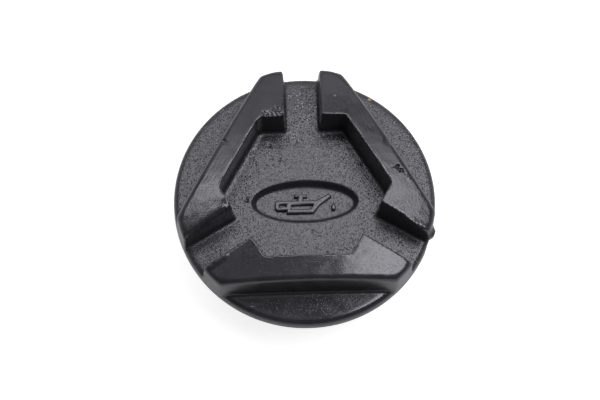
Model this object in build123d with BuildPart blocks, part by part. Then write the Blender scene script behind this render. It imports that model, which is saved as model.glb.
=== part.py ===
from build123d import *
import os
from math import asin, atan2, cos, degrees, radians, sin, sqrt, tan

# Oil filler cap with a three-lobe grip, a bayonet plug and a rubber seal.
# The origin is on the cap's axis in the plane of the rim's foot, with +Z up through the
# grip. One of the three finger grooves runs along +Y.

os.makedirs("parts", exist_ok=True)

# Rim and disc
rim_radius = 31.25
rim_height = 4.1
rim_wall = 2.4
rim_draft = 1.5
rim_edge_round = 1.4
rim_foot_bevel = 0.3
disc_thickness = 3.0

# Grip lobes: the plan sizes are taken at the floor that the lobes stand on
ledge_depth = 7.75
lobe_thickness = 6.5
lobe_height = 6.5
crown_radius = 105.0
wall_draft = 2.5
lobe_edge_round = 1.4

# The outer edges are rounded in this many flats, which keeps their facets few
edge_flats = 3

# Finger grooves, and the round at the foot of every wall of the grip
groove_width = 8.1
foot_round = 0.7

# Oval emblem recess in the floor of the pocket
recess_length = 25.4
recess_width = 10.6
recess_depth = 2.0
recess_shift = 0.9
recess_draft = 25.0

# Hollow plug neck
plug_radius = 16.0
plug_wall = 2.4
plug_length = 14.0
plug_lead = 0.8
plug_roof_bevel = 1.0
centre_thickness = 4.2

# Bayonet lugs with a lead-in ramp and a stop
lug_width = 12.0
lug_reach = 3.0
lug_height = 3.6
lug_lift = 1.0
ramp_run = 4.5
ramp_drop = 1.4
stop_width = 2.2
stop_height = 2.4
lug_round = 0.4

# Seal ring in the groove at the root of the plug
seal_width = 4.8
seal_body = 2.4
seal_rib = 0.8
seal_groove_depth = 0.6
seal_clearance = 0.05

# Cored pockets under the wide ends of the lobes
core_wall = 2.4
core_roof = 2.4
core_seal_gap = 0.9
core_round = 0.5

lobe_count = 3
groove_angle = 90.0
half_pitch = 180.0 / lobe_count
lobe_angle = groove_angle - half_pitch
beyond = 2.0 * rim_radius

chord_distance = rim_radius - ledge_depth
pocket_apothem = chord_distance - lobe_thickness
underside_z = rim_height - disc_thickness
seal_floor_radius = plug_radius - seal_groove_depth
seal_groove_z = underside_z - seal_body - seal_clearance
bore_radius = plug_radius - plug_wall
bore_roof_z = rim_height - centre_thickness
crown_rim_z = rim_height + lobe_height
crown_rim_radius = rim_radius - crown_rim_z * tan(radians(rim_draft))
crown_centre = Vector(0, 0, crown_rim_z - sqrt(crown_radius**2 - crown_rim_radius**2))
crown_top_z = crown_centre.Z + crown_radius
crown_arc = degrees(asin(crown_rim_radius / crown_radius))


def flats(arc):
    return [arc @ (step / edge_flats) for step in range(edge_flats + 1)]


def edge_waste(wall_normal, wall_foot):
    """Return the section that rounding takes off between a leaning wall and the crown."""
    wall_offset = wall_normal.dot(wall_foot - crown_centre)
    ball_x = wall_offset - lobe_edge_round
    ball_y = sqrt((crown_radius - lobe_edge_round) ** 2 - ball_x**2)
    with BuildSketch(Plane(crown_centre, x_dir=wall_normal, z_dir=(0, -1, 0))) as waste:
        with BuildLine():
            turn = degrees(atan2(ball_y, ball_x))
            edge = CenterArc((ball_x, ball_y), lobe_edge_round, 0, turn, mode=Mode.PRIVATE)
            Polyline(*flats(edge), (wall_offset, ball_y + lobe_edge_round), close=True)
        make_face()
    return waste.sketch


def feet_of(cutter):
    straight = cutter.edges().filter_by(GeomType.LINE)
    return straight.filter_by_position(Axis.Z, rim_height - foot_round, rim_height + foot_round)


# Upper room: all the space above the disc, down to the rounded edge of its rim
with BuildPart() as upper_room:
    edge_z = rim_height - rim_edge_round
    edge_radius = rim_radius - edge_z * tan(radians(rim_draft)) - rim_edge_round / cos(radians(rim_draft))
    with BuildSketch(Plane.XZ):
        with BuildLine():
            edge = CenterArc((edge_radius, edge_z), rim_edge_round, 90, rim_draft - 90, mode=Mode.PRIVATE)
            Polyline(
                *flats(edge),
                (beyond, (edge @ 1).Y),
                (beyond, crown_top_z),
                (0, crown_top_z),
                (0, rim_height),
                close=True,
            )
        make_face()
    revolve(axis=Axis.Z)

# Ledge cutter: the room outside one lobe's straight outer wall
with BuildPart() as ledge_cut:
    wall_lean = tan(radians(wall_draft))
    with BuildSketch(Plane.XZ):
        with BuildLine():
            Polyline(
                (chord_distance + rim_height * wall_lean, 0),
                (beyond, 0),
                (beyond, crown_top_z),
                (chord_distance - (crown_top_z - rim_height) * wall_lean, crown_top_z),
                close=True,
            )
        make_face()
    extrude(amount=beyond, both=True)
    add(upper_room.part, mode=Mode.INTERSECT)
    fillet(feet_of(ledge_cut), foot_round)

# Lobe edge cutter: turned about the wall's normal, so it follows the crown along the wall
with BuildPart() as lobe_edge_cut:
    wall_normal = Vector(cos(radians(wall_draft)), 0, sin(radians(wall_draft)))
    wall_section = edge_waste(wall_normal, Vector(chord_distance, 0, rim_height))
    revolve(wall_section, axis=Axis(crown_centre, wall_normal))

# Pocket cutter: the six-sided pocket and the grooves that run out of it through the rim
with BuildPart() as pocket_cut:
    with BuildSketch(Plane.XY):
        RegularPolygon(pocket_apothem, 2 * lobe_count, major_radius=False)
        with PolarLocations(0, lobe_count, start_angle=groove_angle):
            Rectangle(beyond, groove_width, align=(Align.MIN, Align.CENTER))
    extrude(amount=crown_top_z)
    walls = pocket_cut.faces().filter_by(lambda face: abs(face.normal_at().Z) < 0.5)
    draft(walls, Plane.XY.offset(rim_height), -wall_draft)
    add(upper_room.part, mode=Mode.INTERSECT)
    fillet(feet_of(pocket_cut), foot_round)

# Recess cutter: an oval bowl with sloping sides
with BuildPart() as recess_cut:
    recess_lean = recess_depth * tan(radians(recess_draft))
    with BuildSketch(Plane.XY.offset(rim_height - recess_depth)):
        with Locations((0, -recess_shift)):
            Ellipse(recess_length / 2 - recess_lean, recess_width / 2 - recess_lean)
    with BuildSketch(Plane.XY.offset(rim_height)):
        with Locations((0, -recess_shift)):
            Ellipse(recess_length / 2, recess_width / 2)
    loft()

# Bayonet lug: a block with a ramped upper face and a stop, trimmed to a round outside
with BuildPart() as lug:
    lug_foot_z = lug_lift - plug_length
    lug_top_z = lug_foot_z + lug_height
    with BuildSketch(Plane.YZ) as lug_side:
        with BuildLine():
            Polyline(
                (-lug_width / 2, lug_foot_z),
                (lug_width / 2, lug_foot_z),
                (lug_width / 2, lug_top_z + stop_height),
                (lug_width / 2 - stop_width, lug_top_z + stop_height),
                (lug_width / 2 - stop_width, lug_top_z),
                (ramp_run - lug_width / 2, lug_top_z),
                (-lug_width / 2, lug_top_z - ramp_drop),
                close=True,
            )
        make_face()
        fillet(lug_side.vertices(), lug_round)
    extrude(amount=beyond)
    with BuildSketch(Plane.XY.offset(-plug_length)):
        Circle(plug_radius + lug_reach)
        Circle(plug_radius - plug_wall / 2, mode=Mode.SUBTRACT)
    extrude(amount=plug_length, mode=Mode.INTERSECT)

# Core cutter: the two pockets beside the groove along +X, inside the walls of the lobes
with BuildPart() as core_cut:
    core_outer = rim_radius - rim_wall - rim_foot_bevel
    core_start = seal_floor_radius + seal_width + core_seal_gap
    core_top_z = crown_centre.Z + sqrt(crown_radius**2 - core_outer**2) - core_roof
    with BuildSketch(Plane.XY.offset(underside_z)):
        Circle(core_outer)
        with Locations((core_start, 0)):
            Rectangle(beyond, beyond, align=(Align.MIN, Align.CENTER), mode=Mode.INTERSECT)
        Rectangle(2 * beyond, groove_width + 2 * core_wall, mode=Mode.SUBTRACT)
        with PolarLocations(chord_distance - core_wall, lobe_count, start_angle=half_pitch):
            Rectangle(beyond, 2 * beyond, align=(Align.MIN, Align.CENTER), mode=Mode.SUBTRACT)
        offset(amount=-core_round, mode=Mode.REPLACE)
        offset(amount=core_round, mode=Mode.REPLACE)
    extrude(amount=core_top_z - underside_z)

# Cap body: one moulding, from a turned section that the grip and the cores are cut into
with BuildPart() as cap_body:
    with BuildSketch(Plane.XZ) as section:
        with BuildLine():
            CenterArc((0, crown_centre.Z), crown_radius, 90, -crown_arc)
            Polyline(
                (crown_rim_radius, crown_rim_z),
                (rim_radius, 0),
                (rim_radius - rim_wall, 0),
                (rim_radius - rim_wall, underside_z),
                (seal_floor_radius, underside_z),
                (seal_floor_radius, seal_groove_z),
                (plug_radius, seal_groove_z),
                (plug_radius, plug_lead - plug_length),
                (plug_radius - plug_lead, -plug_length),
                (bore_radius, -plug_length),
                (bore_radius, bore_roof_z),
                (0, bore_roof_z),
                (0, crown_top_z),
            )
        make_face()
        chamfer(section.vertices().sort_by_distance((rim_radius, 0))[0], rim_foot_bevel)
        chamfer(section.vertices().sort_by_distance((bore_radius, bore_roof_z))[0], plug_roof_bevel)
    revolve(axis=Axis.Z)
    rim_normal = Vector(cos(radians(rim_draft)), 0, sin(radians(rim_draft)))
    revolve(edge_waste(rim_normal, Vector(rim_radius, 0, 0)), axis=Axis.Z, mode=Mode.SUBTRACT)

    # Grip: the ledges outside the lobes, the lobes' rounded edges, the pocket and its recess
    with PolarLocations(0, lobe_count, start_angle=lobe_angle):
        add(ledge_cut.part, mode=Mode.SUBTRACT)
        add(lobe_edge_cut.part, mode=Mode.SUBTRACT)
    add(pocket_cut.part, mode=Mode.SUBTRACT)
    add(recess_cut.part, mode=Mode.SUBTRACT)

    # Underside: cores in the lobes and lugs on the plug
    with PolarLocations(0, lobe_count, start_angle=groove_angle):
        add(core_cut.part, mode=Mode.SUBTRACT)
    with PolarLocations(0, lobe_count, start_angle=lobe_angle):
        add(lug.part)

# Seal ring: a moulded rubber ring with two sealing ribs under it
with BuildPart() as seal_ring:
    seal_inner = seal_floor_radius + seal_clearance
    rib_z = underside_z - seal_body
    with BuildSketch(Plane.XZ):
        with Locations((seal_inner, rib_z)):
            Rectangle(seal_width, seal_body, align=Align.MIN)
        rib_first = plug_radius + seal_clearance + seal_rib
        rib_last = seal_inner + seal_width - seal_rib
        with Locations((rib_first, rib_z), (rib_last, rib_z)):
            RegularPolygon(seal_rib, 4)
    revolve(axis=Axis.Z)

for piece, name in ((cap_body, "cap_body"), (seal_ring, "seal_ring")):
    piece.part.label = name
    export_step(piece.part, f"parts/{name}.step")
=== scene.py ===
from math import cos, pi, radians, sin

import bmesh
import bpy
import numpy as np
from mathutils import Matrix, Vector, noise


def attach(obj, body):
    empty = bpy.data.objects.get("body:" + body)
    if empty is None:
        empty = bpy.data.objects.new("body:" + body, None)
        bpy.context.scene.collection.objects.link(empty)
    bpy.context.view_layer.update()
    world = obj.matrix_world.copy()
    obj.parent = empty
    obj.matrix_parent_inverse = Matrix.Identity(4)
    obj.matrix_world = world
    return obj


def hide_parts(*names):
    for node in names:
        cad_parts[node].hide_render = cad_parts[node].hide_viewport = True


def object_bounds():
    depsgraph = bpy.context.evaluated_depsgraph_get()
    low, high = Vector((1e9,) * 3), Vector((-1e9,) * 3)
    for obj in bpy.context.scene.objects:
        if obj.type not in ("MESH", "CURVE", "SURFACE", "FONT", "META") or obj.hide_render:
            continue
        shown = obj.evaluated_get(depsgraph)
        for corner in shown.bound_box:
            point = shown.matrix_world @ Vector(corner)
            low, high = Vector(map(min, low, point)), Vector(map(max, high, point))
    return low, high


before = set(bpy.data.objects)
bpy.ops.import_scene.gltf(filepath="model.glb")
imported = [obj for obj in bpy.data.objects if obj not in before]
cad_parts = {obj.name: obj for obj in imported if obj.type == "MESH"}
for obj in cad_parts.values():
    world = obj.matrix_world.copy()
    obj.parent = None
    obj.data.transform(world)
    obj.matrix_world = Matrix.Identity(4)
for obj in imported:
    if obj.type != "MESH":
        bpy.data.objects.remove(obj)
cad_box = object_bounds()

# Viewpoint
# The photograph looks down on the cap from in front through a long lens, turned a little
# to the left and rolled. The numbers come from fitting the cap's own edges to the picture.
MM = 0.001
scene = bpy.context.scene
scene.view_settings.view_transform = "Standard"

camera_lens = 120.0
camera_sensor = 36.0
camera_distance = 475.3 * MM
camera_elevation = radians(69.62)
camera_turn = radians(-4.81)
camera_roll = radians(3.03)
camera_aim = Vector((-1.18, -0.51, 4.1)) * MM

camera = bpy.data.objects.new("camera", bpy.data.cameras.new("camera"))
scene.collection.objects.link(camera)
camera.data.lens = camera_lens
camera.data.sensor_width = camera_sensor
camera.matrix_world = (
    Matrix.Translation(camera_aim)
    @ Matrix.Rotation(camera_turn, 4, "Z")
    @ Matrix.Rotation(pi / 2 - camera_elevation, 4, "X")
    @ Matrix.Rotation(camera_roll, 4, "Z")
    @ Matrix.Translation((0, 0, camera_distance))
)
scene.camera = camera

# Table and light
# A white table under the plug's end. Softboxes hang in a row above and behind the cap and at
# its right, with a faint fill overhead, in a dim room that has a bright low backdrop behind.
table_radius = 4.0
table_corners = 96
table_colour = (0.50, 0.50, 0.50, 1)
table_seen_glow = 0.82
table_mirrored_glow = 0.36

table_mesh = bpy.data.meshes.new("table")
table = bpy.data.objects.new("table", table_mesh)
scene.collection.objects.link(table)
table_disc = bmesh.new()
bmesh.ops.create_circle(table_disc, cap_ends=True, segments=table_corners, radius=table_radius)
table_disc.to_mesh(table_mesh)
table_disc.free()
table.location.z = cad_box[0][2]


def feed(tree, socket, value):
    """Link another socket to a socket, or set it to a plain value."""
    if isinstance(value, bpy.types.NodeSocket):
        tree.links.new(value, socket)
    else:
        socket.default_value = value


def combine(tree, operation, first, *others):
    """Join sockets or numbers by one Math operation, each in turn, and return the last output."""
    for other in others:
        node = tree.nodes.new("ShaderNodeMath")
        node.operation = operation
        feed(tree, node.inputs[0], first)
        feed(tree, node.inputs[1], other)
        first = node.outputs[0]
    return first


def ramp_node(tree, value, zero_at, one_at, shape="SMOOTHSTEP"):
    """Add a ramp from 0 at one value to 1 at another, a smooth one if no other is asked for."""
    node = tree.nodes.new("ShaderNodeMapRange")
    node.interpolation_type = shape
    node.inputs["From Min"].default_value = zero_at
    node.inputs["From Max"].default_value = one_at
    tree.links.new(value, node.inputs["Value"])
    return node.outputs["Result"]


def split(tree, vector):
    """Split a vector and return its X, Y and Z outputs."""
    node = tree.nodes.new("ShaderNodeSeparateXYZ")
    tree.links.new(vector, node.inputs[0])
    return node.outputs


table_white = bpy.data.materials.new("table_white")
table_white.use_nodes = True
tree = table_white.node_tree
table_shader = tree.nodes["Principled BSDF"]
table_shader.inputs["Base Color"].default_value = table_colour
table_shader.inputs["Roughness"].default_value = 0.9
table_shader.inputs["Specular IOR Level"].default_value = 0.0
table_shader.inputs["Emission Color"].default_value = (1, 1, 1, 1)
ray = tree.nodes.new("ShaderNodeLightPath").outputs
mirrored = combine(tree, "ADD", ray["Is Glossy Ray"], ray["Is Transmission Ray"])
mirrored_glow = combine(tree, "MULTIPLY", mirrored, table_mirrored_glow)
seen_glow = combine(tree, "MULTIPLY", ray["Is Camera Ray"], table_seen_glow)
tree.links.new(combine(tree, "ADD", seen_glow, mirrored_glow), table_shader.inputs["Emission Strength"])
table_mesh.materials.append(table_white)

room_colour = (0.97, 0.98, 1.0, 1)
room_strength = 0.10
backdrop_strength = 0.8
room = bpy.data.worlds.new("room")
room.use_nodes = True
tree = room.node_tree
room_shader = tree.nodes["Background"]
room_shader.inputs["Color"].default_value = room_colour
direction = split(tree, tree.nodes.new("ShaderNodeTexCoord").outputs["Generated"])
low_down = ramp_node(tree, direction["Z"], zero_at=0.5, one_at=0.1, shape="LINEAR")
behind = ramp_node(tree, direction["Y"], zero_at=-0.45, one_at=0.15, shape="LINEAR")
backdrop = combine(tree, "MULTIPLY", low_down, behind, backdrop_strength)
dim_room = combine(tree, "ADD", backdrop, room_strength)
ray = tree.nodes.new("ShaderNodeLightPath").outputs
tree.links.new(combine(tree, "MAXIMUM", dim_room, ray["Is Camera Ray"]), room_shader.inputs["Strength"])
scene.world = room

lamp_height = 0.62
lamp_colour = (1.0, 0.985, 1.06)
main_width = (-0.46, 0.50)


def softbox(name, x_range, y_range, radiance):
    """Hang a level softbox over the cap, given by its reach in plan."""
    lamp = bpy.data.lights.new(name, "AREA")
    lamp.shape = "RECTANGLE"
    lamp.size = x_range[1] - x_range[0]
    lamp.size_y = y_range[1] - y_range[0]
    lamp.energy = radiance * pi * lamp.size * lamp.size_y
    lamp.color = lamp_colour
    box = bpy.data.objects.new(name, lamp)
    scene.collection.objects.link(box)
    box.location = (sum(x_range) / 2, sum(y_range) / 2, lamp_height)


softbox("main_front", main_width, y_range=(0.175, 0.26), radiance=6.6)
softbox("main_middle", main_width, y_range=(0.26, 0.32), radiance=3.9)
softbox("main_back", main_width, y_range=(0.32, 0.51), radiance=1.7)
softbox("back_left", x_range=(-0.60, 0.06), y_range=(0.53, 1.10), radiance=0.88)
softbox("back_right", x_range=(0.06, 0.60), y_range=(0.67, 1.10), radiance=1.2)
softbox("right_softbox", x_range=(0.15, 0.50), y_range=(-0.22, 0.125), radiance=7.0)
softbox("corner_softbox", x_range=(0.07, 0.15), y_range=(0.105, 0.175), radiance=12.0)
softbox("overhead_fill", x_range=(-0.46, 0.15), y_range=(-0.25, 0.03), radiance=0.35)

# Cap moulding
# The cap is one black plastic moulding with a glossy skin from a grained mould. Its form is the
# CAD node's, and the soft edges, flash, slumps and pits of this one cap are worked into it.
cap_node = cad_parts["cap_body"]
weld_distance = 0.002 * MM
skin_voxel = 0.25 * MM

moulding = bpy.data.objects.new("cap_moulding", bpy.data.meshes.new("cap_moulding"))
scene.collection.objects.link(moulding)
shell = bmesh.new()
shell.from_mesh(cap_node.data)
bmesh.ops.remove_doubles(shell, verts=shell.verts, dist=weld_distance)
shell.to_mesh(moulding.data)
shell.free()


def settle(piece):
    """Turn a piece's modifiers into its mesh."""
    depsgraph = bpy.context.evaluated_depsgraph_get()
    finished = bpy.data.meshes.new_from_object(piece.evaluated_get(depsgraph))
    piece.modifiers.clear()
    piece.data = finished


skin = moulding.modifiers.new("skin", "REMESH")
skin.mode = "VOXEL"
skin.voxel_size = skin_voxel
settle(moulding)


def read_vectors(items, name):
    """Read one vector of every item of a mesh as an array of rows."""
    flat = np.empty(3 * len(items))
    items.foreach_get(name, flat)
    return flat.reshape(-1, 3)


def point_places(piece):
    """Read where the points of a piece are, in millimetres."""
    return read_vectors(piece.data.vertices, "co") / MM


def nearness(distance, reach):
    """Fall smoothly from 1 at a distance of nought to 0 at the reach."""
    share = np.clip(1 - distance / reach, 0, 1)
    return share * share * (3 - 2 * share)


def band(value, middle, half, fade):
    """Stay at 1 within half a width of the middle, then fall smoothly to 0 over the fade."""
    return nearness(np.abs(value - middle) - half, fade)


least_weight = 0.01


def smooth(piece, name, rounds, weights, spared=False):
    """Smooth a piece where the weights are high, or everywhere else if those are spared."""
    group = piece.vertex_groups.new(name=name)
    for index in np.flatnonzero(weights > least_weight):
        group.add([int(index)], float(weights[index]), "REPLACE")
    smoothing = piece.modifiers.new(name, "SMOOTH")
    smoothing.factor = 0.5
    smoothing.iterations = rounds
    smoothing.vertex_group = group.name
    smoothing.invert_vertex_group = spared
    settle(piece)
    piece.vertex_groups.clear()


# Softer edges all over, but the wall of the oval recess stays crisper than the rest.
soften_rounds = 6
recess_middle = (0.0, -0.9)
recess_half = (12.7, 5.3)
recess_wall = 0.94
recess_level = 3.1
recess_crispness = 0.7
places = point_places(moulding)
from_recess = np.linalg.norm((places[:, :2] - recess_middle) / recess_half, axis=1)
crisp = recess_crispness * band(from_recess, recess_wall, half=0.1, fade=0.1)
crisp *= band(places[:, 2], recess_level, half=1.3, fade=0.4)
smooth(moulding, "crisp", soften_rounds, crisp, spared=True)

# Plan of the grip, in millimetres: the lobes stand across three directions, and the finger
# grooves run out between them.
lobe_turns = [radians(30 + 120 * step) for step in range(3)]
groove_turns = [turn + radians(60) for turn in lobe_turns]
left_lobe, near_lobe = lobe_turns[1:]
right_groove = groove_turns[2]
floor_level = 4.1
pocket_wall = 17.0
lobe_end = (23.2, 20.5)
groove_end = (30.7, 4.3)


def turned(turn, along, across):
    """Return the place in plan that lies along and across a direction from the axis."""
    return np.array((along * cos(turn) - across * sin(turn), along * sin(turn) + across * cos(turn)))


# Upright corners at the outer ends of the lobes, rounded in plan.
corner_reach = 2.6
corner_rounds = 40
corners = []
for turns, (along, across) in ((lobe_turns, lobe_end), (groove_turns, groove_end)):
    corners += [turned(turn, along, side * across) for turn in turns for side in (-1, 1)]
places = point_places(moulding)
roundness = np.zeros(len(places))
for corner in corners:
    roundness += nearness(np.linalg.norm(places[:, :2] - corner, axis=1), corner_reach)
above_floor = 1 - nearness(places[:, 2] - floor_level - 0.4, 1.0)
smooth(moulding, "corners", corner_rounds, np.clip(2 * roundness, 0, 1) * above_floor)

# Finer mesh where the flaws are worked in, at places in plan with their reach.
flaw_spots = (
    (-7.0, 18.4, 3.6),
    (22.9, 3.0, 2.2),
    (25.5, -9.3, 4.4),
    (29.8, -11.2, 3.0),
    (-20.6, -16.9, 5.2),
)
flaw_cuts = 2
places = point_places(moulding)
worked = np.zeros(len(places), dtype=bool)
for x, y, reach in flaw_spots:
    worked |= np.hypot(places[:, 0] - x, places[:, 1] - y) < reach
worked &= places[:, 2] > floor_level
shell = bmesh.new()
shell.from_mesh(moulding.data)
fine_edges = [edge for edge in shell.edges if all(worked[point.index] for point in edge.verts)]
bmesh.ops.subdivide_edges(shell, edges=fine_edges, cuts=flaw_cuts, use_grid_fill=True)
shell.to_mesh(moulding.data)
shell.free()

# Fall of the ledges and grooves towards the rim, which takes the rim's edge down with it. The
# front ledge falls away more than the others.
fall_slope = 0.065
fall_start = 22.0
fall_ease = 2.0
front_start = -24.0
front_extra = 0.5
places = point_places(moulding)
outward = read_vectors(moulding.data.vertex_normals, "vector")
past_start = np.hypot(places[:, 0], places[:, 1]) - fall_start
fall = fall_slope * (np.sqrt(past_start**2 + fall_ease**2) + past_start - fall_ease) / 2
fall *= 1 + front_extra * nearness(places[:, 1] - front_start, 2.0)
places[:, 2] -= np.clip(fall, 0, None) * band(places[:, 2], floor_level - 0.6, half=1.2, fade=2.2)

seed_stride = 31.7
dent_feature = 0.6
strip_fade = 1.2
lip_feature = 1.4
lip_reach = np.zeros(len(places))


def unevenness(points, feature, seed):
    """Return noise from about -1 to 1 with features of a given size."""
    offset = Vector((seed_stride * seed, 0, 0))
    return np.array([noise.noise(Vector(point) / feature + offset) for point in points])


def skin_height(piece, x, y):
    """Return the height of a piece's upper surface at a place in plan, in millimetres."""
    top = Vector((x * MM, y * MM, cad_box[1][2] + MM))
    _, point, _, _ = piece.ray_cast(top, Vector((0, 0, -1)))
    return point.z / MM


def dent(x, y, reach, depth, grit=0.0, seed=0):
    """Press the skin in round a place, unevenly if asked, or raise it for a depth below nought."""
    distance = np.linalg.norm(places - (x, y, skin_height(cap_node, x, y)), axis=1)
    hit = distance < reach
    amount = depth * nearness(distance[hit], reach)
    amount *= 1 + grit * unevenness(places[hit], dent_feature, seed)
    places[hit] -= amount[:, None] * outward[hit]


def edge_strip(start, end, reach, lowest):
    """Find the skin beside a line in plan: its rows, share of the way along, and nearness."""
    line = np.subtract(end, start)
    share = np.clip((places[:, :2] - start) @ line / (line @ line), 0, 1)
    distance = np.linalg.norm(places[:, :2] - start - share[:, None] * line, axis=1)
    hit = (distance < reach) & (places[:, 2] > lowest)
    faded = np.clip((places[hit, 2] - lowest) / strip_fade, 0, 1)
    return hit, share[hit], faded * nearness(distance[hit], reach)


def spongy_edge(start, end, reach, drop, grit, feature, seed, lowest=9.0):
    """Let an edge of a lobe slump along a line in plan, with a porous skin."""
    hit, share, near = edge_strip(start, end, reach, lowest)
    near *= np.clip(3 * np.sin(pi * share), 0, 1)
    places[hit, 2] -= drop * near * (1 + 0.4 * unevenness(places[hit], 2 * feature, seed))
    pores = grit * np.minimum(1, 2 * near) * unevenness(places[hit], feature, seed + 50)
    places[hit] += pores[:, None] * outward[hit]


def flash_lip(start, end, towards, reach, width, lift, seed, lowest=8.6):
    """Let a thin lip of flash stand out and up from the top edge of a lobe."""
    hit, share, near = edge_strip(start, end, reach, lowest)
    lip = near * np.sqrt(np.sin(pi * share)) * (0.8 + 0.5 * unevenness(places[hit], lip_feature, seed))
    places[hit, :2] += width * lip[:, None] * np.asarray(towards)
    places[hit, 2] += lift * lip
    lip_reach[hit] = np.maximum(lip_reach[hit], near)


# Left lobe: a spongy edge beside the back groove, a slumped corner, notches and a ragged edge.
back_edge = ((-9.6, 17.6), (-4.3, 17.6))
back_notches = ((-7.4, 19.1, 0.5), (-6.3, 19.5, 0.7), (-5.3, 19.2, 0.5), (-9.3, 18.5, 0.6))
ragged_edge = (
    ((-18.5, -5.6), (-21.5, -7.3), 4),
    ((-21.0, -7.1), (-25.2, -9.6), 14),
    ((-25.0, -9.4), (-28.6, -11.5), 24),
)
spongy_edge(*back_edge, reach=1.6, drop=0.4, grit=0.09, feature=0.45, seed=1, lowest=12.3)
for x, y, reach in back_notches:
    dent(x, y, reach, depth=0.22, grit=1.0, seed=2)
dent(-17.6, -4.7, reach=2.6, depth=0.6, grit=0.3, seed=3)
dent(-17.9, -4.3, reach=0.5, depth=-0.25)
for start, end, seed in ragged_edge:
    spongy_edge(start, end, reach=1.1, drop=0.6, grit=0.06, feature=1.2, seed=seed)
dent(-18.9, 11.4, reach=0.8, depth=0.45, grit=0.6, seed=5)
dent(-19.8, 12.2, reach=0.5, depth=-0.2)
dent(-23.4, 6.0, reach=0.5, depth=-0.25)

# Left pocket wall: it stands back a little over a low step that the mould's core has left.
step_height = 0.24
step_edge = pocket_wall - 0.75
wall_half = 8.6
wall_height = 9.0
wall_margin = 0.6
back_at_foot = 0.65
back_at_top = 0.25
to_left_lobe = turned(left_lobe, 1, 0)
across = places[:, :2] @ to_left_lobe
along = places[:, :2] @ turned(left_lobe, 0, 1)
past_step = across - step_edge
past_wall = across - pocket_wall - wall_margin
beside = band(along, 0, half=wall_half, fade=1.2) * (places[:, 2] > floor_level - 0.4)
up_wall = np.clip((places[:, 2] - floor_level) / wall_height, 0, 1)
back = back_at_foot + (back_at_top - back_at_foot) * up_wall
back *= beside * (1 - nearness(past_step + 0.3, 0.8)) * nearness(past_wall, 2.0)
ripple = 1 + 0.2 * np.sin(2.1 * along) * np.sin(0.9 * along)
rise = step_height * beside * (1 - nearness(past_step, 0.6)) * nearness(past_wall, 0.6)
rise *= nearness(places[:, 2] - floor_level - 0.8, 3.0) * ripple
places[:, 2] += rise
places[:, :2] += back[:, None] * to_left_lobe

# Near lobe: a burr along the left groove that the skin of the lobe climbs to.
burr = ((-25.2, -20.0), (-18.4, -16.1))
burr_lean = turned(near_lobe, 0, -0.3)
flash_lip(*burr, towards=burr_lean, reach=1.5, width=0.3, lift=0.55, seed=6)
dent(-19.0, -16.4, reach=0.5, depth=-0.2, grit=0.5, seed=7)

# Right lobe: a slumped end, a lip of flash over the right groove, and a lump of flash on the rim.
slump_middle = (28.6, -11.2)
slump_reach = 3.4
dent(29.4, -11.2, reach=3.2, depth=0.6)
slump = nearness(np.linalg.norm(places[:, :2] - slump_middle, axis=1), slump_reach)
lip_reach = np.maximum(lip_reach, slump * (places[:, 2] > floor_level + 3))
groove_lip = ((22.6, -8.1), (28.4, -11.4))
over_groove = turned(right_groove, 0, -1)
flash_lip(*groove_lip, towards=over_groove, reach=1.2, width=0.5, lift=0.30, seed=8)
lump_turn = radians(-19.6)
lump_radius = 31.0
lump_level = 6.0
lump_middle = np.append(turned(lump_turn, lump_radius, 0), lump_level)
lump_reach = 2.4
lump_swell = 0.8
lump = np.minimum(1, 1.5 * nearness(np.linalg.norm(places - lump_middle, axis=1), lump_reach))
lump *= lump_swell * (1 + 0.2 * np.sin(3 * places[:, 2]))
places[:, :2] += lump[:, None] * turned(lump_turn, 1, 0)

# Right lobe's outer edge: a cluster of pits, raised grains beside it and a shallow hollow. A fleck
# stands on the lobe's back end.
edge_turn = radians(-47)
edge_pits = 16
edge_pits_middle = (22.1, 3.5)
edge_grains = 8
edge_grains_middle = (24.0, 1.7)
flaw_draw = np.random.default_rng(5)


def scattered(middle, along, across):
    """Draw a place about a middle, spread along and across the lobe's outer edge."""
    return np.add(middle, turned(edge_turn, flaw_draw.normal(0, along), flaw_draw.normal(0, across)))


for step in range(edge_pits):
    x, y = scattered(edge_pits_middle, along=0.75, across=0.3)
    reach = flaw_draw.uniform(0.25, 0.42)
    dent(x, y, reach, depth=flaw_draw.uniform(0.35, 0.75), grit=0.8, seed=10 + step)
for _ in range(edge_grains):
    x, y = scattered(edge_grains_middle, along=0.6, across=0.25)
    dent(x, y, reach=0.3, depth=-0.12)
dent(7.8, 22.9, reach=0.5, depth=-0.25)
dent(19.9, 10.6, reach=1.7, depth=0.25)

# Front ledge: a raised scratch. Floors: shallow pits and bumps, most of them in the pocket.
scratch = ((-14.9, -26.5), (-12.3, -27.0))
scratch_height = 0.18
hit, share, near = edge_strip(*scratch, reach=0.45, lowest=floor_level - 1.5)
places[hit, 2] += scratch_height * near * np.sin(pi * share)
dent(-13.9, -0.2, reach=0.8, depth=0.35)
pit_count = 60
pit_field = 29.0
pit_crowding = 0.7
pit_draw = np.random.default_rng(17)
for _ in range(pit_count):
    reach = pit_draw.uniform(0.45, 0.8)
    x, y = turned(pit_draw.uniform(0, 2 * pi), pit_field * pit_draw.uniform(0, 1) ** pit_crowding, 0)
    depth = pit_draw.choice((-0.5, 1.0)) * pit_draw.uniform(0.08, 0.22)
    if skin_height(cap_node, x, y) < floor_level + 0.1:
        dent(x, y, reach, depth)

# Smooth lips, and a mesh that is no finer than it has to be.
lip_rounds = 60
triangles_kept = 190_000
moulding.data.vertices.foreach_set("co", (places * MM).ravel())
smooth(moulding, "lips", lip_rounds, np.minimum(1, 2 * lip_reach))
thin = moulding.modifiers.new("thin", "DECIMATE")
thin.ratio = min(1.0, triangles_kept / (2 * len(moulding.data.polygons)))
settle(moulding)
moulding.data.shade_smooth()

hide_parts("cap_body")
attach(moulding, "root")

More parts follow.
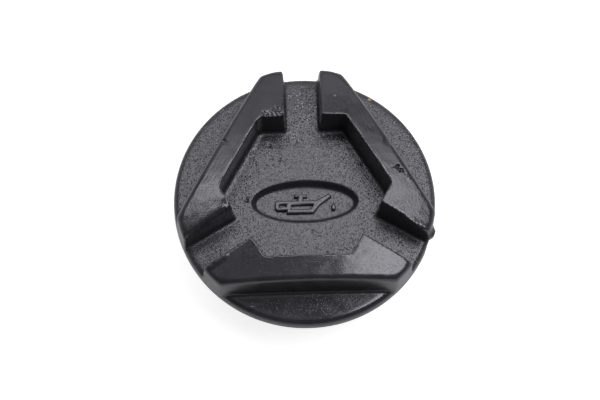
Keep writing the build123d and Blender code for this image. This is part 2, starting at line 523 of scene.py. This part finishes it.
# Each point's place along and across the lobe that it is nearest to, for the drawn streaks.
places = read_vectors(moulding.data.vertices, "co")
across_lobes = np.stack([places[:, :2] @ turned(turn, 1, 0) for turn in lobe_turns])
along_lobes = np.stack([places[:, :2] @ turned(turn, 0, 1) for turn in lobe_turns])
nearest = across_lobes.argmax(axis=0)
rows = np.arange(len(places))
lobe_run = np.stack((along_lobes[nearest, rows], across_lobes[nearest, rows], places[:, 2]), axis=1)
run_layer = moulding.data.attributes.new("lobe_run", "FLOAT_VECTOR", "POINT")
run_layer.data.foreach_set("vector", lobe_run.ravel())


def shader_group(name, vectors=(), values=(), outputs=()):
    """Start a shader node group and return its tree, its given sockets and its results."""
    tree = bpy.data.node_groups.new(name, "ShaderNodeTree")
    for socket in vectors:
        tree.interface.new_socket(socket, in_out="INPUT", socket_type="NodeSocketVector")
    for socket in values:
        tree.interface.new_socket(socket, in_out="INPUT", socket_type="NodeSocketFloat")
    for socket in outputs:
        tree.interface.new_socket(socket, in_out="OUTPUT", socket_type="NodeSocketFloat")
    given = tree.nodes.new("NodeGroupInput").outputs
    results = tree.nodes.new("NodeGroupOutput").inputs
    return tree, given, results


def placed(tree, group, **values):
    """Place a shader group in a material with its own values and return its outputs."""
    node = tree.nodes.new("ShaderNodeGroup")
    node.node_tree = group
    for socket, value in values.items():
        feed(tree, node.inputs[socket], value)
    return node.outputs


def vector_node(tree, operation, *values):
    """Add a Vector Math node fed by sockets or plain vectors and return its outputs."""
    node = tree.nodes.new("ShaderNodeVectorMath")
    node.operation = operation
    for socket, value in zip(node.inputs, values):
        feed(tree, socket, value)
    return node.outputs


def between(tree, mask, off, on):
    """Go from one value where a mask is 0 to another where it is 1."""
    return combine(tree, "ADD", combine(tree, "MULTIPLY", mask, on - off), off)


def colour_mix(tree, mask, off, on):
    """Go from one colour where a mask is 0 to another where it is 1."""
    node = tree.nodes.new("ShaderNodeMix")
    node.data_type = "RGBA"
    for socket, value in (("Factor", mask), ("A", off), ("B", on)):
        feed(tree, node.inputs[socket], value)
    return node.outputs["Result"]


# Grain of a moulded skin: noise with features of a given size, centred on nought.
grain, given, results = shader_group("grain", ["place"], ["feature", "detail", "height"], ["relief"])
grain_noise = grain.nodes.new("ShaderNodeTexNoise")
grain.links.new(given["place"], grain_noise.inputs["Vector"])
grain.links.new(combine(grain, "DIVIDE", 1.0, given["feature"]), grain_noise.inputs["Scale"])
grain.links.new(given["detail"], grain_noise.inputs["Detail"])
grain_centred = combine(grain, "SUBTRACT", grain_noise.outputs["Fac"], 0.5)
grain.links.new(combine(grain, "MULTIPLY", grain_centred, given["height"]), results["relief"])


def grain_relief(tree, place, feature, detail, height):
    """Place the grain in a material with its own values and return its relief."""
    return placed(tree, grain, place=place, feature=feature, detail=detail, height=height)["relief"]


# Where the skin is grained: the floors, and the tops of the lobes, with smooth walls between.
skin_zones, _, results = shader_group("skin_zones", outputs=["floor", "lobe"])
skin_place = skin_zones.nodes.new("ShaderNodeTexCoord").outputs
skin_lift = split(skin_zones, skin_place["Normal"])["Z"]
skin_level = split(skin_zones, skin_place["Object"])["Z"]
facing_up = ramp_node(skin_zones, skin_lift, zero_at=0.35, one_at=0.80)
lobe_level = ramp_node(skin_zones, skin_level, zero_at=6.5 * MM, one_at=8.5 * MM)
lobe_top = combine(skin_zones, "MULTIPLY", facing_up, lobe_level)
skin_zones.links.new(lobe_top, results["lobe"])
skin_zones.links.new(combine(skin_zones, "SUBTRACT", facing_up, lobe_top), results["floor"])

cap_black = bpy.data.materials.new("cap_black")
cap_black.use_nodes = True
tree = cap_black.node_tree
cap_shader = tree.nodes["Principled BSDF"]
cap_place = tree.nodes.new("ShaderNodeTexCoord").outputs["Object"]
cap_run = tree.nodes.new("ShaderNodeAttribute")
cap_run.attribute_name = "lobe_run"
cap_zones = placed(tree, skin_zones)
cap_axes = split(tree, cap_place)
pimple_raggedness = 2.5
pimple_shift = (0.7, 0.7, 0.7)


def pimple_node(tree, place, spacing, share, height):
    """Add small ragged pimples on a share of the cells of a given spacing."""
    grid = vector_node(tree, "MULTIPLY", place, [1 / spacing] * 3)["Vector"]
    ragged = tree.nodes.new("ShaderNodeTexNoise")
    ragged.inputs["Scale"].default_value = pimple_raggedness
    tree.links.new(grid, ragged.inputs["Vector"])
    shifted = vector_node(tree, "MULTIPLY_ADD", ragged.outputs["Color"], pimple_shift, grid)["Vector"]
    cells = tree.nodes.new("ShaderNodeTexVoronoi")
    cells.inputs["Scale"].default_value = 1.0
    tree.links.new(shifted, cells.inputs["Vector"])
    lot = tree.nodes.new("ShaderNodeSeparateColor")
    tree.links.new(cells.outputs["Color"], lot.inputs[0])
    chosen = ramp_node(tree, lot.outputs["Red"], zero_at=1 - share, one_at=1 - share / 2)
    pimple = ramp_node(tree, cells.outputs["Distance"], zero_at=0.45, one_at=0.05)
    return combine(tree, "MULTIPLY", pimple, chosen, height)


# Relief of the floors, in millimetres: grain and pimples, coarser away from the axis, and lower
# on the front ledge and the emblem.
not_front = ramp_node(tree, cap_axes["Y"], zero_at=-25 * MM, one_at=-19 * MM)
flat_place = vector_node(tree, "MULTIPLY", cap_place, (1, 1, 0))["Vector"]
from_axis = vector_node(tree, "LENGTH", flat_place)["Value"]
far_out = ramp_node(tree, from_axis, zero_at=8 * MM, one_at=17 * MM)
coarse = combine(tree, "MULTIPLY", far_out, not_front)
above_recess = ramp_node(tree, cap_axes["Z"], zero_at=2.35 * MM, one_at=2.6 * MM)
below_floor = ramp_node(tree, cap_axes["Z"], zero_at=3.2 * MM, one_at=3.0 * MM)
on_emblem = combine(tree, "MULTIPLY", above_recess, below_floor)
front_relief = between(tree, not_front, off=0.22, on=1.0)
emblem_relief = between(tree, on_emblem, off=1.0, on=0.35)
floor_grain = grain_relief(tree, cap_place, feature=0.30 * MM, detail=4.0, height=0.06)
floor_pimples = pimple_node(tree, cap_place, spacing=0.38 * MM, share=0.75, height=0.055)
coarse_pimples = pimple_node(tree, cap_place, spacing=0.5 * MM, share=0.5, height=0.07)
coarse_pimples = combine(tree, "MULTIPLY", coarse_pimples, coarse)
floor_relief = combine(tree, "ADD", floor_grain, floor_pimples, coarse_pimples)
floor_relief = combine(tree, "MULTIPLY", floor_relief, front_relief, cap_zones["floor"], emblem_relief)

# Relief of the lobes, in millimetres: fine grain, streaks along the lobe, slow waves and pits.
streak_length = 5
streak_squeeze = (1 / streak_length, 1, 1 / streak_length)
streak_place = vector_node(tree, "MULTIPLY", cap_run.outputs["Vector"], streak_squeeze)["Vector"]
lobe_grain = grain_relief(tree, cap_place, feature=0.30 * MM, detail=3.0, height=0.024)
lobe_streaks = grain_relief(tree, streak_place, feature=0.45 * MM, detail=2.0, height=0.034)
lobe_waves = grain_relief(tree, cap_place, feature=4.0 * MM, detail=1.0, height=0.14)
at_near_lobe = ramp_node(tree, cap_axes["Y"], zero_at=-8 * MM, one_at=-16 * MM)
pit_share = between(tree, at_near_lobe, off=0.35, on=1.0)
lobe_pits = pimple_node(tree, cap_place, spacing=0.28 * MM, share=0.9, height=-0.014)
lobe_pits = combine(tree, "MULTIPLY", lobe_pits, pit_share)
lobe_relief = combine(tree, "ADD", lobe_grain, lobe_streaks, lobe_waves, lobe_pits)
lobe_relief = combine(tree, "MULTIPLY", lobe_relief, cap_zones["lobe"])
skin_bump = tree.nodes.new("ShaderNodeBump")
skin_bump.inputs["Distance"].default_value = MM
tree.links.new(combine(tree, "ADD", floor_relief, lobe_relief), skin_bump.inputs["Height"])
tree.links.new(skin_bump.outputs["Normal"], cap_shader.inputs["Normal"])

# Gloss: uneven in broad patches, higher on the floors, and highest on the front ledge and lobes.
wall_roughness = 0.33
patch_roughness = 0.22
floor_gloss = 0.11
front_gloss = 0.08
lobe_gloss = 0.19
cap_patches = grain_relief(tree, cap_place, feature=3.5 * MM, detail=3.0, height=1.0)
uneven_roughness = combine(tree, "MULTIPLY", cap_patches, patch_roughness)
front_floor = combine(tree, "MULTIPLY", combine(tree, "SUBTRACT", 1.0, not_front), cap_zones["floor"])
cap_roughness = combine(
    tree, "SUBTRACT",
    combine(tree, "ADD", uneven_roughness, wall_roughness),
    combine(tree, "MULTIPLY", cap_zones["floor"], floor_gloss),
    combine(tree, "MULTIPLY", front_floor, front_gloss),
    combine(tree, "MULTIPLY", cap_zones["lobe"], lobe_gloss),
)
tree.links.new(cap_roughness, cap_shader.inputs["Roughness"])

# Colour: two blacks in the same patches, a chip on the rim that shows a tan filler, and pale
# specks on the floors at the back, most of them in the back groove. These specks are painted
# glints: painted highlights in the base colour where the grain would catch the light.
black_deep = (0.019, 0.0186, 0.0214, 1)
black_worn = (0.025, 0.0245, 0.0278, 1)
chip_tan = (0.30, 0.21, 0.10, 1)
painted_glint_pale = (0.36, 0.36, 0.38, 1)
painted_glint_thinning = 0.6
chip_middle = Vector((16.7, 25.3, 3.5)) * MM
painted_glint_middle = Vector((1.0, 24.5, 3.9)) * MM
worn = ramp_node(tree, cap_patches, zero_at=-0.2, one_at=0.2)
cap_colour = colour_mix(tree, worn, black_deep, black_worn)
chip_away = vector_node(tree, "DISTANCE", cap_place, chip_middle)["Value"]
chip_ragged = grain_relief(tree, cap_place, feature=0.5 * MM, detail=2.0, height=0.9 * MM)
chip_away = combine(tree, "ADD", chip_away, chip_ragged)
chip = ramp_node(tree, chip_away, zero_at=0.45 * MM, one_at=0.30 * MM)
cap_colour = colour_mix(tree, chip, cap_colour, chip_tan)
# Painted glints: pale colour on ragged pimple tops, a painted highlight for light caught by the grain.
painted_glint_spots = pimple_node(tree, cap_place, spacing=0.55 * MM, share=0.6, height=1.0)
painted_glints = ramp_node(tree, painted_glint_spots, zero_at=0.20, one_at=0.55)
painted_glint_patches = grain_relief(tree, cap_place, feature=4.0 * MM, detail=2.0, height=1.0)
painted_glint_spread = ramp_node(tree, painted_glint_patches, zero_at=-0.05, one_at=0.10)
at_back = ramp_node(tree, cap_axes["Y"], zero_at=4 * MM, one_at=16 * MM)
painted_glint_spread = combine(tree, "MULTIPLY", painted_glint_spread, coarse, at_back, painted_glint_thinning)
painted_glint_away = vector_node(tree, "DISTANCE", cap_place, painted_glint_middle)["Value"]
painted_glint_cluster = ramp_node(tree, painted_glint_away, zero_at=5.5 * MM, one_at=1.5 * MM)
painted_glint_spread = combine(tree, "MAXIMUM", painted_glint_spread, painted_glint_cluster)
painted_glints = combine(tree, "MULTIPLY", painted_glints, painted_glint_spread, cap_zones["floor"])
# The painted glints go into the base colour here.
cap_colour = colour_mix(tree, painted_glints, cap_colour, painted_glint_pale)
tree.links.new(cap_colour, cap_shader.inputs["Base Color"])
moulding.data.materials.clear()
moulding.data.materials.append(cap_black)

# Emblem
# A raised pictogram of an oil can with a falling drop, moulded in one with the floor of the
# oval recess. It has flat tops and rounded edges, as raised signs of a mould have.
emblem_middle = (-0.3, -0.9)
emblem_height = 0.95
emblem_edge = 0.34
emblem_sink = 0.1
can_outline = [
    (-4.1, -2.5), (2.3, -2.5), (3.9, -0.4), (6.7, 1.6), (6.2, 2.4), (3.0, 0.75), (-0.1, 0.75),
    (-0.1, 1.5), (0.9, 1.5), (0.9, 2.3), (-2.3, 2.3), (-2.3, 1.5), (-1.3, 1.5), (-1.3, 0.75),
    (-4.1, 0.75), (-6.3, 0.95), (-6.9, 0.4), (-6.9, -1.3), (-6.3, -1.8), (-4.1, -1.7),
]
can_window = [(-2.95, -1.4), (1.6, -1.4), (2.3, -0.5), (2.2, -0.35), (-2.95, -0.35)]
handle_window = [(-5.8, -0.75), (-4.15, -0.65), (-4.15, -0.2), (-5.8, -0.1)]
drop_x, drop_y = (7.1, -0.9)
drop_half = (0.75, 1.0)
drop_steps = 20
drop_turns = [2 * pi * step / drop_steps for step in range(drop_steps)]
drop_outline = [
    (drop_x + drop_half[0] * sin(turn) * sin(turn / 2), drop_y + drop_half[1] * cos(turn))
    for turn in drop_turns
]
outlines = bpy.data.curves.new("emblem", "CURVE")
outlines.dimensions = "2D"
outlines.fill_mode = "BOTH"
outlines.extrude = (emblem_height / 2 - emblem_edge) * MM
outlines.bevel_depth = emblem_edge * MM
outlines.bevel_resolution = 3
outlines.offset = -emblem_edge * MM
for outline in (can_outline, can_window, handle_window, drop_outline):
    spline = outlines.splines.new("POLY")
    spline.points.add(len(outline) - 1)
    spline.use_cyclic_u = True
    for point, (x, y) in zip(spline.points, outline):
        point.co = ((x + emblem_middle[0]) * MM, (y + emblem_middle[1]) * MM, 0, 1)
holder = bpy.data.objects.new("emblem_outlines", outlines)
emblem = bpy.data.objects.new("emblem", bpy.data.meshes.new_from_object(holder))
bpy.data.objects.remove(holder)
bpy.context.view_layer.update()
emblem_level = skin_height(moulding, *emblem_middle) + emblem_height / 2 - emblem_sink
emblem.data.transform(Matrix.Translation((0, 0, emblem_level * MM)))
scene.collection.objects.link(emblem)
emblem.data.materials.append(cap_black)
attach(emblem, "root")

# Seal ring
# A moulded black rubber ring with two ribs, pushed over the plug up to the disc. It keeps its
# CAD form and gets a dull skin with talc-like mottling.
seal_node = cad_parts["seal_ring"]
rubber_deep = (0.012, 0.012, 0.013, 1)
rubber_dusty = (0.030, 0.030, 0.031, 1)
rubber_roughness = 0.55
rubber_unevenness = 0.30
seal_rubber = bpy.data.materials.new("seal_rubber")
seal_rubber.use_nodes = True
tree = seal_rubber.node_tree
seal_shader = tree.nodes["Principled BSDF"]
seal_place = tree.nodes.new("ShaderNodeTexCoord").outputs["Object"]
seal_patches = grain_relief(tree, seal_place, feature=2.5 * MM, detail=4.0, height=1.0)
seal_dusty = ramp_node(tree, seal_patches, zero_at=-0.2, one_at=0.25)
seal_colour = colour_mix(tree, seal_dusty, rubber_deep, rubber_dusty)
tree.links.new(seal_colour, seal_shader.inputs["Base Color"])
seal_unevenness = combine(tree, "MULTIPLY", seal_patches, rubber_unevenness)
seal_roughness = combine(tree, "ADD", seal_unevenness, rubber_roughness)
tree.links.new(seal_roughness, seal_shader.inputs["Roughness"])
seal_bump = tree.nodes.new("ShaderNodeBump")
seal_bump.inputs["Distance"].default_value = MM
seal_relief = grain_relief(tree, seal_place, feature=0.30 * MM, detail=2.0, height=0.03)
tree.links.new(seal_relief, seal_bump.inputs["Height"])
tree.links.new(seal_bump.outputs["Normal"], seal_shader.inputs["Normal"])
seal_node.data.materials.clear()
seal_node.data.materials.append(seal_rubber)
